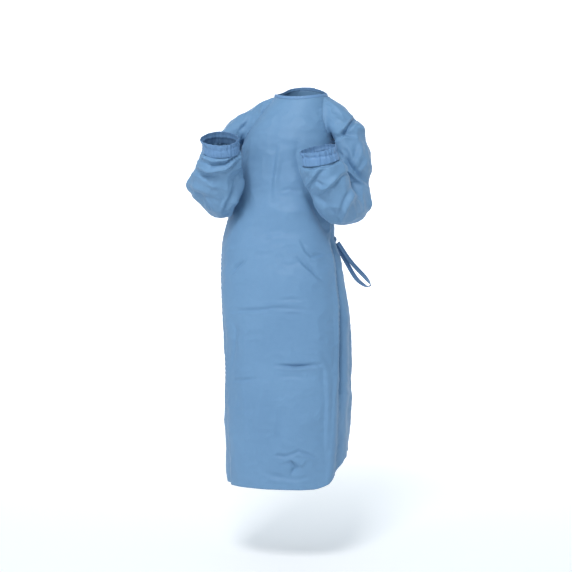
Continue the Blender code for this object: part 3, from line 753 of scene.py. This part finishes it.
def sleeve_frame(arm, at):
    """The middle, the outward side, the outside of the bend and the way along, at one place."""
    to_shoulder, to_wrist = arm.shoulder - arm.elbow, arm.wrist - arm.elbow
    normal = to_shoulder.cross(to_wrist).normalized()
    above = -math.acos(arm.bend_radius / to_shoulder.length)
    below = math.acos(arm.bend_radius / to_wrist.length)
    start = Matrix.Rotation(above, 3, normal) @ to_shoulder.normalized()
    end = Matrix.Rotation(below, 3, normal) @ to_wrist.normalized()
    turn = 2 * math.pi - math.atan2(start.cross(end).dot(normal), start.dot(end)) % (2 * math.pi)
    side = normal if normal.x * arm.sign > 0 else -normal
    turn_start, turn_end = arm.elbow + start * arm.bend_radius, arm.elbow + end * arm.bend_radius
    if at <= 1.0:
        return arm.shoulder.lerp(turn_start, at), side, start, (turn_start - arm.shoulder).normalized()
    if at <= 2.0:
        bend = Matrix.Rotation(-turn * (at - 1.0), 3, normal) @ start
        return arm.elbow + bend * arm.bend_radius, side, bend, bend.cross(normal)
    share = at - 2.0
    straight = arm.wrist - turn_end
    last = arm.wrist_way.normalized()
    centre = hermite(turn_end, straight, arm.wrist, last * straight.length, share)
    lean = float(ease(share, WRIST_LEAN_FROM, 1.0))
    along = straight.normalized().lerp(last, lean).normalized()
    bend = (end - along * end.dot(along)).normalized()
    outward = along.cross(bend)
    return centre, outward if outward.dot(side) > 0 else -outward, bend, along


def sleeve_rings(arm, girths, at, turn):
    """Rings of a sleeve at many places along it: turn 0 is its outer side, and it goes by the back."""
    centres, sides, bends = [], [], []
    for place in at[:, 0]:
        centre, side, bend, along = sleeve_frame(arm, float(place))
        degrees = float(rows_through(girths, np.array(place))[3])
        roll = Matrix.Rotation(math.radians(degrees), 3, along)
        centres.append(centre)
        sides.append(roll @ side)
        bends.append(roll @ bend)
    half_side, half_bend, shift, _, square = rows_through(girths, at)
    back, out = rounded(turn, square)
    return (np.array(centres)[:, None] + np.array(sides)[:, None] * (shift + half_side * out)[..., None]
            + np.array(bends)[:, None] * (half_bend * back)[..., None])


def armhole_spots(step):
    """The body's angle and level at each step round the loop that a sleeve is sewn to."""
    yoke, half = 8.0, 2.0
    down_back, up_front = (step - half) / yoke, 1.0 - (step - half - yoke) / yoke
    parts = [step <= half, step <= half + yoke, step < half + 2 * yoke]
    angle = np.select(
        parts,
        [mix(90.0, NECK_SEAMS[1], step / half), np.abs(back_seam(1, np.minimum(down_back, 0.99999))),
         side_seam(1, np.clip(up_front, 0.0, 1.0))],
        mix(NECK_SEAMS[0], 90.0, (step - half - 2 * yoke) / half))
    return angle, np.select(parts, [0.0 * step, down_back, up_front], 0.0)


def armhole(sign, step):
    """Points of the armhole, moved off the panels' edges by the seam's gap."""
    angle, level = armhole_spots(step % AROUND)
    points = body_point(sign * angle, level)
    ahead, behind = armhole_spots((step + 0.3) % AROUND), armhole_spots((step - 0.3) % AROUND)
    tangent = unit(body_point(sign * ahead[0], ahead[1]) - body_point(sign * behind[0], behind[1]))
    inward = unit(np.cross(body_out(sign * angle, np.maximum(level, 0.02)), tangent))
    ring = armhole_spots(np.arange(AROUND, dtype=float))
    middle = body_point(sign * ring[0], ring[1]).mean(0)
    inward = np.where(((middle - points) * inward).sum(-1)[..., None] < 0, -inward, inward)
    off = np.where(level > 0.0, SEAM_GAP, 0.0)[..., None]
    return points + inward * off


def sleeve_at(down):
    """Places along the arm for shares of the sleeve: below 0 lies the shoulder, 3 is the cuff."""
    shoulder, upper, elbow, lower = SLEEVE_RINGS
    ring = down * sum(SLEEVE_RINGS) - shoulder
    return np.where(ring < 0, ring / shoulder, np.where(ring < upper, ring / upper, np.where(
        ring < upper + elbow, 1.0 + (ring - upper) / elbow, 2.0 + (ring - upper - elbow) / lower)))


def add_sleeve(name, node, arm, girths, upper_creases, lower_creases, dents, flat):
    def place(across, down):
        turn, at = 360.0 * across, sleeve_at(down)
        tube = sleeve_rings(arm, girths, np.maximum(at, 0.0), turn)
        first = armhole(arm.sign, across[:1] * AROUND)
        last = sleeve_rings(arm, girths, np.zeros((1, 1)), turn[:1])
        share = np.clip(1.0 + at, 0.0, 1.0)[..., None]
        reach = np.linalg.norm(last - first, axis=-1)[..., None]
        crown = (0.5 + 0.5 * np.cos(np.radians(turn[:1])))[..., None]
        slope = unit(np.array((arm.sign, 0.0, -arm.shoulder_fall)))
        leave = mix(last - first, slope * reach * CROWN_PULL, crown)
        arrive = mix(last - first, np.array(sleeve_frame(arm, 0.0)[3]) * reach, SEAM_PULL)
        cap = hermite(first, leave, last, arrive, share)
        return np.where(at[..., None] < 0, cap, tube)

    def finish(points, normals, across, down):
        at, turn = sleeve_at(down), 360.0 * across
        seen, spots = facing(points, normals), on_view(points)
        lower = ease(at, *ELBOW_CHANGE)
        height = (crease_height(spots, upper_creases) * (1.0 - lower)
                  + crease_height(spots, lower_creases) * lower) * seen
        for dent in dents:
            off = degrees_off(turn, dent.turn)
            reach = ((at - dent.at) / dent.at_reach) ** 2 + (off / dent.turn_reach) ** 2
            height = height + dent.depth * np.exp(-reach)
        height = height + ease(down, 0.0, SLEEVE_CALM) * crumples(points, SLEEVE_CRUMPLES)
        height = seamed(height, down * SLEEVE_LENGTH, across * ARMHOLE_LENGTH)
        pleats = PLEAT_DEPTH * np.abs(np.sin(np.pi * across * PLEATS + 1.3 * np.sin(across * 17.0)))
        height = height - pleats * ease(at, *PLEAT_PLACE)
        return points + normals * height[..., None]

    piece = cut_cloth(name, 160, 290, place, finish, gown_cloth, CLOTH_WALL, flat, tube=True,
                      turned=arm.sign < 0)
    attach(piece, "root")
    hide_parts(node)


Dent = namedtuple("Dent", "at turn at_reach turn_reach depth")
LEFT_UPPER_CREASES = rows_of(
    Crease,
    (((356, 115), (351, 122), (346, 129), (340, 136)), 2.6, -14.9, 0.5),
    (((336, 140), (345, 134), (357, 136)), 2.4, -11.5, 0.5),
    (((334, 106), (343, 112), (353, 117)), 2.6, 6.2, 0.2),
    (((349, 128), (356, 126), (362, 131)), 3.0, 6.8, 0.4),
    (((362, 140), (358, 155), (352, 168)), 3.2, 8.9, 0.5),
    (((343, 146), (346, 158), (349, 166)), 3.2, -8.6, 0.3),
    (((341, 157), (349, 168), (358, 177), (368, 184)), 2.8, -16.2, 0.6),
    (((366, 160), (361, 168), (355, 173)), 2.4, 6.8, 0.4),
)
LEFT_LOWER_CREASES = rows_of(
    Crease,
    (((303, 192), (311, 182), (318, 172), (326, 165)), 3.0, 11.3, 0.5),
    (((320, 194), (328, 187), (338, 178), (347, 170)), 3.2, 11.3, 0.5),
    (((313, 181), (322, 186), (330, 185)), 2.4, -7.4, 0.4),
    (((354, 183), (350, 195), (345, 207), (341, 218)), 3.0, 12.2, 0.5),
    (((312, 196), (325, 204), (334, 216)), 3.6, -9.7, 0.2),
    (((341, 158), (349, 169), (358, 178), (367, 184)), 2.8, 12.2, -0.7),
    (((370, 201), (362, 197), (354, 197)), 2.6, -6.0, 0.4),
    (((299, 166), (312, 169), (329, 166), (342, 160)), 2.0, -9.5, 0.5),
)
LEFT_DENTS = rows_of(
    Dent,
    (0.25, -50.0, 0.30, 26.0, -0.006),
    (0.62, -20.0, 0.16, 40.0, 0.004),
    (1.02, 42.0, 0.17, 34.0, -0.020),
    (1.32, 32.0, 0.13, 20.0, 0.006),
    (2.05, 178.0, 0.30, 24.0, -0.004),
    (2.45, 60.0, 0.18, 26.0, 0.005),
    (2.72, 110.0, 0.14, 30.0, -0.005),
    (0.50, 90.0, 0.25, 30.0, -0.005),
    (0.14, 36.0, 0.24, 36.0, -0.010),
    (0.00, 6.0, 0.14, 30.0, 0.010),
)
RIGHT_UPPER_CREASES = rows_of(
    Crease,
    (((262, 104), (261, 116), (257, 126), (246, 135)), 3.2, 9.5, 0.4),
    (((250, 112), (246, 122), (238, 132)), 3.0, -9.5, 0.3),
)
RIGHT_LOWER_CREASES = rows_of(
    Crease,
    (((201, 151), (213, 157), (226, 156), (237, 150)), 1.8, -9.5, 0.4),
    (((199, 156), (212, 162), (226, 161), (238, 153)), 1.9, 12.2, 0.4),
    (((197, 161), (211, 167), (226, 165), (239, 156)), 1.8, -10.8, 0.4),
    (((195, 167), (208, 172), (225, 170), (239, 160)), 2.2, 10.8, 0.5),
    (((194, 173), (206, 178), (222, 176)), 2.4, -8.1, 0.4),
    (((186, 184), (197, 190), (210, 196)), 3.4, 8.1, 0.4),
    (((200, 178), (212, 186), (226, 190)), 3.6, 6.8, 0.3),
    (((204, 198), (208, 205), (212, 211)), 2.0, 8.1, 0.6),
    (((240, 170), (234, 184), (228, 200), (222, 216)), 3.4, -9.5, 0.3),
    (((236, 178), (229, 193), (222, 206)), 3.0, 6.8, 0.4),
)
RIGHT_DENTS = rows_of(
    Dent,
    (0.30, -60.0, 0.30, 30.0, -0.005),
    (0.55, 90.0, 0.22, 34.0, -0.006),
    (0.90, 50.0, 0.16, 30.0, 0.004),
    (2.30, 100.0, 0.12, 40.0, 0.004),
    (2.55, 90.0, 0.10, 46.0, -0.006),
    (2.74, 84.0, 0.08, 50.0, 0.005),
    (2.60, 200.0, 0.14, 36.0, -0.005),
    (1.62, 75.0, 0.25, 42.0, -0.022),
    (1.52, 165.0, 0.22, 32.0, -0.018),
    (2.30, 190.0, 0.36, 34.0, 0.010),
    (2.42, 186.0, 0.36, 30.0, 0.007),
)
add_sleeve("sleeve_l", "sleeve_left", LEFT_ARM, LEFT_GIRTHS, LEFT_UPPER_CREASES,
           LEFT_LOWER_CREASES, LEFT_DENTS, (0.40, 0.74))
add_sleeve("sleeve_r", "sleeve_right", RIGHT_ARM, RIGHT_GIRTHS, RIGHT_UPPER_CREASES,
           RIGHT_LOWER_CREASES, RIGHT_DENTS, (0.40, 0.74))


# Cuffs
# A band of the same cloth round each wrist, with an elastic run in it that draws it into small
# uneven gathers. The left one is pulled tight; the right one is slack, and its outer rim flares.
CUFF_LENGTH = 0.040
CUFF_WALL = 0.0012
CUFF_TAPER = 0.94
GATHER_TURNS = (8, 11, 13, 17, 19, 24, 31)
GATHER_PLACE = (0.08, 0.84)
GATHER_CLIP = 0.75
ELASTIC_AT = 0.60
ELASTIC_WANDER = 0.05
ELASTIC_WIDTH = 0.11
FLARE_WIDTH = 32.0
FLARE_FROM = 0.35
Cuff = namedtuple("Cuff", "seed gather elastic flare flare_turn flat")
LEFT_CUFF = Cuff(4, 0.0020, -0.0030, 0.003, 150.0, (0.42, 0.042))
RIGHT_CUFF = Cuff(8, 0.0011, -0.0014, 0.008, 20.0, (0.42, 0.042))


def gathers(across, down, seed):
    """Uneven waves round a band that meet themselves at its seam and drift along its length."""
    random = np.random.default_rng(seed)
    total = np.zeros(across.shape)
    for turns in GATHER_TURNS:
        phase, drift = random.uniform(0.0, 6.28), random.uniform(-2.4, 2.4)
        size = random.uniform(0.5, 1.0)
        total += size * np.cos(2 * np.pi * turns * across + phase + drift * down)
    return np.tanh(total * GATHER_CLIP)


def add_cuff(name, node, arm, girths, cuff):
    centre, side, bend, along = (np.array(part) for part in sleeve_frame(arm, 3.0))
    half_side, half_bend = girths[-1].half_side, girths[-1].half_bend

    def place(across, down):
        back, out = rounded(360.0 * across, 2.0)
        taper = mix(1.0, CUFF_TAPER, np.sin(down * np.pi / 2))
        rise = SEAM_GAP + down * CUFF_LENGTH
        return (centre + along * rise[..., None] + side * (half_side * taper * out)[..., None]
                + bend * (half_bend * taper * back)[..., None])

    def finish(points, normals, across, down):
        run = np.sin(np.pi * mix(*GATHER_PLACE, down)) ** END_POWER
        height = cuff.gather * run * gathers(across, down, cuff.seed)
        line = ELASTIC_AT + ELASTIC_WANDER * np.sin(2 * np.pi * across * 2 + cuff.seed)
        height = height + cuff.elastic * bell(down, line, ELASTIC_WIDTH)
        flare = bell(degrees_off(360.0 * across, cuff.flare_turn), 0.0, FLARE_WIDTH)
        height = height + cuff.flare * flare * ease(down, FLARE_FROM, 1.0)
        return points + normals * height[..., None]

    piece = cut_cloth(name, 300, 36, place, finish, gown_trim, CUFF_WALL, cuff.flat, tube=True,
                      turned=arm.sign < 0)
    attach(piece, "root")
    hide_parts(node)


add_cuff("cuff_l", "cuff_left", LEFT_ARM, LEFT_GIRTHS, LEFT_CUFF)
add_cuff("cuff_r", "cuff_right", RIGHT_ARM, RIGHT_GIRTHS, RIGHT_CUFF)


# Neck binding and tab
# A folded strip is stitched over the neck edge. Behind, a short tab of hook and loop closes the
# outer back onto the inner one just below it.
BINDING_HEIGHT = 0.009
BINDING_LEAN = 0.0025
BINDING_WALL = 0.0020
BINDING_ROUND = 0.0009
BINDING_RIPPLE = 0.0003
BINDING_STITCH = (0.80, 0.07)
STITCH_DEPTH = 0.0004
TAB_ANGLES = (-206.0, -168.0)
TAB_LEVELS = (0.10, 0.26)
TAB_OFF = 0.0005
TAB_LIFT = 0.0015
TAB_WALL = 0.0014
TAB_SIZE = (0.09, 0.022)
TAB_STITCH = (0.003, 0.0008)
TAB_ROUND = 0.0006


def binding_place(across, down):
    angle = mix(flap_end(-1, 0.0), flap_end(1, 0.0), across)
    outer, inner = outer_back_point(angle, 0.0 * angle), body_point(angle, 0.0)
    edge = np.where((angle < -90.0)[..., None], outer, inner)
    inward = unit(edge * np.array((-1.0, -1.0, 0.0)))
    rise = SEAM_GAP + (1.0 - down) * BINDING_HEIGHT
    edge = edge + inward * (BINDING_LEAN * (1.0 - down))[..., None]
    edge[..., 2] += rise
    return edge


def binding_finish(points, normals, across, down):
    round_off = -BINDING_ROUND * (2.0 * down - 1.0) ** 4
    stitch = -STITCH_DEPTH * bell(down, *BINDING_STITCH)
    ripple = BINDING_RIPPLE * np.sin(across * 210.0 + 2.0 * np.sin(across * 47.0))
    return points + normals * (round_off + stitch + ripple)[..., None]


def tab_place(across, down):
    angle = mix(TAB_ANGLES[0], TAB_ANGLES[1], across)
    level = mix(TAB_LEVELS[0], TAB_LEVELS[1], down)
    return body_point(angle, level) + body_out(angle, level) * (LAYER + TAB_OFF + TAB_LIFT)


def tab_finish(points, normals, across, down):
    length, width = TAB_SIZE
    edge = np.minimum(np.minimum(across, 1.0 - across) * length, np.minimum(down, 1.0 - down) * width)
    stitch = -STITCH_DEPTH * bell(edge, *TAB_STITCH)
    return points + normals * (stitch - TAB_ROUND * np.exp(-edge / TAB_STITCH[1]))[..., None]


binding = cut_cloth("binding", 420, 14, binding_place, binding_finish, gown_trim, BINDING_WALL,
                    (0.56, 0.011))
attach(binding, "root")
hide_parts("neck_binding")
tab = cut_cloth("tab", 80, 24, tab_place, tab_finish, gown_trim, TAB_WALL, TAB_SIZE)
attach(tab, "root")
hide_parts("neck_tab")


# Waist tie
# A long folded strip in two lengths: one sewn in the left side seam, one to the free edge of the
# right back. They are knotted on the left hip, with one bow loop and two free ends.
TIE_WIDTH = 0.028
TIE_WALL = 0.0012
TIE_Z = -0.445
TIE_OFF = 0.0018
TIE_SEWN_AT = 99.0
TIE_FLAP_END = 150.0
KNOT_ANGLE = 125.0
KNOT_REACH = 1.0
KNOT_SIZE = Vector((0.015, 0.024, 0.030))
KNOT_OFF = 0.0096
KNOT_TO_LOOP = 0.0134
LOOP_END = Vector((0.101, 0.022, -0.132))
LOOP_ACROSS = Vector((0.56, 0.64, 0.53))
LOOP_SPREAD = 0.009
LOOP_ROUND = 0.6
LOOP_BULGES = (0.45, 1.60)
LOOP_BULGE_PLACE = (0.15, 0.75)
LOOP_WIDTHS = (0.6, 0.8)
LOOP_POINT = 0.8
LOOP_SAG = 0.012
LOOP_LEAN = -72.0
LOOP_LAYER = 0.0025
TAIL_TOPS = (125.0, 127.0)
TAIL_ANGLES = (128.0, 139.0)
TAIL_LENGTHS = (0.210, 0.170)
TAIL_OFFS = (0.0035, 0.0060)
TAIL_BELOW = 0.0022
TAIL_WIDTH = 11.0
TAIL_PINCH = 0.5
TAIL_OPENS = 0.3
TIE_STITCH = (0.10, 0.03)
TIE_STITCH_DEPTH = 0.0003
TIE_CREASE = 0.0005
KNOT_SLANT = 0.45
KNOT_BAND = 0.42
KNOT_CORE = 0.84
KNOT_BULGE = 0.14
BAND_PLEATS = 0.03
END_PLEATS = 0.025
ON_FLAP = LAYER + TIE_OFF


def waist_point(angle, z, off):
    level = 1.0 + (UNDERARM_Z - z) / (UNDERARM_Z - hem_height(angle))
    return body_point(angle, level) + body_out(angle, level) * np.asarray(off)[..., None]


knot_middle = waist_point(np.array(KNOT_ANGLE), np.array(TIE_Z), np.array(ON_FLAP + KNOT_OFF))


def tie_finish(points, normals, across, down):
    """A folded strip: its edges are stitched, and it is creased along and across."""
    stitch = -TIE_STITCH_DEPTH * bell(np.minimum(down, 1.0 - down), *TIE_STITCH)
    crease = TIE_CREASE * np.sin(down * 9.0 + 3.0 * np.sin(across * 5.0))
    return points + normals * (stitch + crease)[..., None]


def tie_strip(name, node, columns, rows, place, flat):
    piece = cut_cloth(name, columns, rows, place, tie_finish, gown_trim, TIE_WALL, flat)
    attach(piece, "root")
    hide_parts(node)


def band_place(first, last, first_off, last_off):
    """A stretch of the tie on the body, between two angles."""
    def place(across, down):
        angle = mix(first, last, across)
        z = TIE_Z + TIE_WIDTH * (0.5 - down)
        return waist_point(angle, z, mix(first_off, last_off, ease(across, 0.0, 1.0)) + TIE_WALL)

    return place


def loop_place(across, down):
    """The strip runs out from the knot, turns round and comes back, leaned towards the light."""
    way = LOOP_END.normalized()
    across_way = (LOOP_ACROSS - way * LOOP_ACROSS.dot(way)).normalized()
    broad = np.array(way.cross(across_way).normalized())
    start = knot_middle + np.array(way) * KNOT_TO_LOOP
    turn = np.pi * (across - 0.5)
    out = np.clip(np.cos(turn), 0.0, 1.0)
    bulge = mix(*LOOP_BULGES, ease(out, *LOOP_BULGE_PLACE))
    apart = LOOP_SPREAD * np.sign(turn) * np.abs(np.sin(turn)) ** LOOP_ROUND * bulge
    width = TIE_WIDTH * mix(*LOOP_WIDTHS, out) * (down - 0.5)
    lean = np.radians(LOOP_LEAN) * np.sqrt(np.abs(np.sin(turn)))
    spot = (start + np.array(LOOP_END) * (out**LOOP_POINT)[..., None]
            + np.array(across_way) * (apart + width * np.sin(lean))[..., None]
            + broad * (width * np.cos(lean) + LOOP_LAYER * np.sin(turn))[..., None])
    spot[..., 2] += -LOOP_SAG * np.sin(np.pi * out)
    return spot


def tail_place(number):
    """A free end that falls from the knot over the back, pinched at its top."""
    def place(across, down):
        z = TIE_Z - TIE_WIDTH * 0.5 - TAIL_BELOW - down * TAIL_LENGTHS[number]
        angle = mix(TAIL_TOPS[number], TAIL_ANGLES[number], ease(down, 0.0, 1.0))
        width = TAIL_WIDTH * mix(TAIL_PINCH, 1.0, ease(down, 0.0, TAIL_OPENS))
        off = np.full(np.shape(across), LAYER + TAIL_OFFS[number] + TIE_WALL)
        return waist_point(angle + width * (across - 0.5), z, off)

    return place


tie_strip("tie_side", "tie_front", 90, 24,
          band_place(TIE_SEWN_AT, KNOT_ANGLE - KNOT_REACH, TIE_OFF, ON_FLAP), (0.070, 0.028))
tie_strip("tie_behind", "tie_back", 90, 24,
          band_place(KNOT_ANGLE + KNOT_REACH, TIE_FLAP_END, ON_FLAP, ON_FLAP), (0.070, 0.028))
tie_strip("loop", "tie_loop", 180, 20, loop_place, (0.360, 0.026))
for number, length in enumerate(TAIL_LENGTHS):
    tie_strip(f"tail_{number + 1}", f"tie_tail_{number + 1}", 20, 120, tail_place(number),
              (0.028, length))

knot_ball = bmesh.new()
bmesh.ops.create_uvsphere(knot_ball, u_segments=64, v_segments=40, radius=0.5, calc_uvs=False)
for vertex in knot_ball.verts:
    spot = vertex.co.normalized()
    wrap = abs(spot.z + KNOT_SLANT * spot.y)
    band = 1.0 / (1.0 + (wrap / KNOT_BAND) ** 8)
    pleat = (BAND_PLEATS * math.cos(26.0 * wrap) * band
             + END_PLEATS * math.sin(14.0 * spot.y + 5.0 * spot.z) * (1.0 - band))
    vertex.co = spot * (0.5 * (KNOT_CORE + KNOT_BULGE * band + pleat))
knot_out = body_out(np.array(KNOT_ANGLE), np.array(1.3))
bmesh.ops.scale(knot_ball, vec=KNOT_SIZE, verts=knot_ball.verts)
bmesh.ops.rotate(knot_ball, verts=knot_ball.verts, cent=(0, 0, 0),
                 matrix=Matrix.Rotation(math.atan2(knot_out[1], knot_out[0]), 3, "Z"))
bmesh.ops.translate(knot_ball, verts=knot_ball.verts, vec=Vector(knot_middle))
knot = add_object("knot", knot_ball, gown_trim)
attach(knot, "root")
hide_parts("tie_knot")
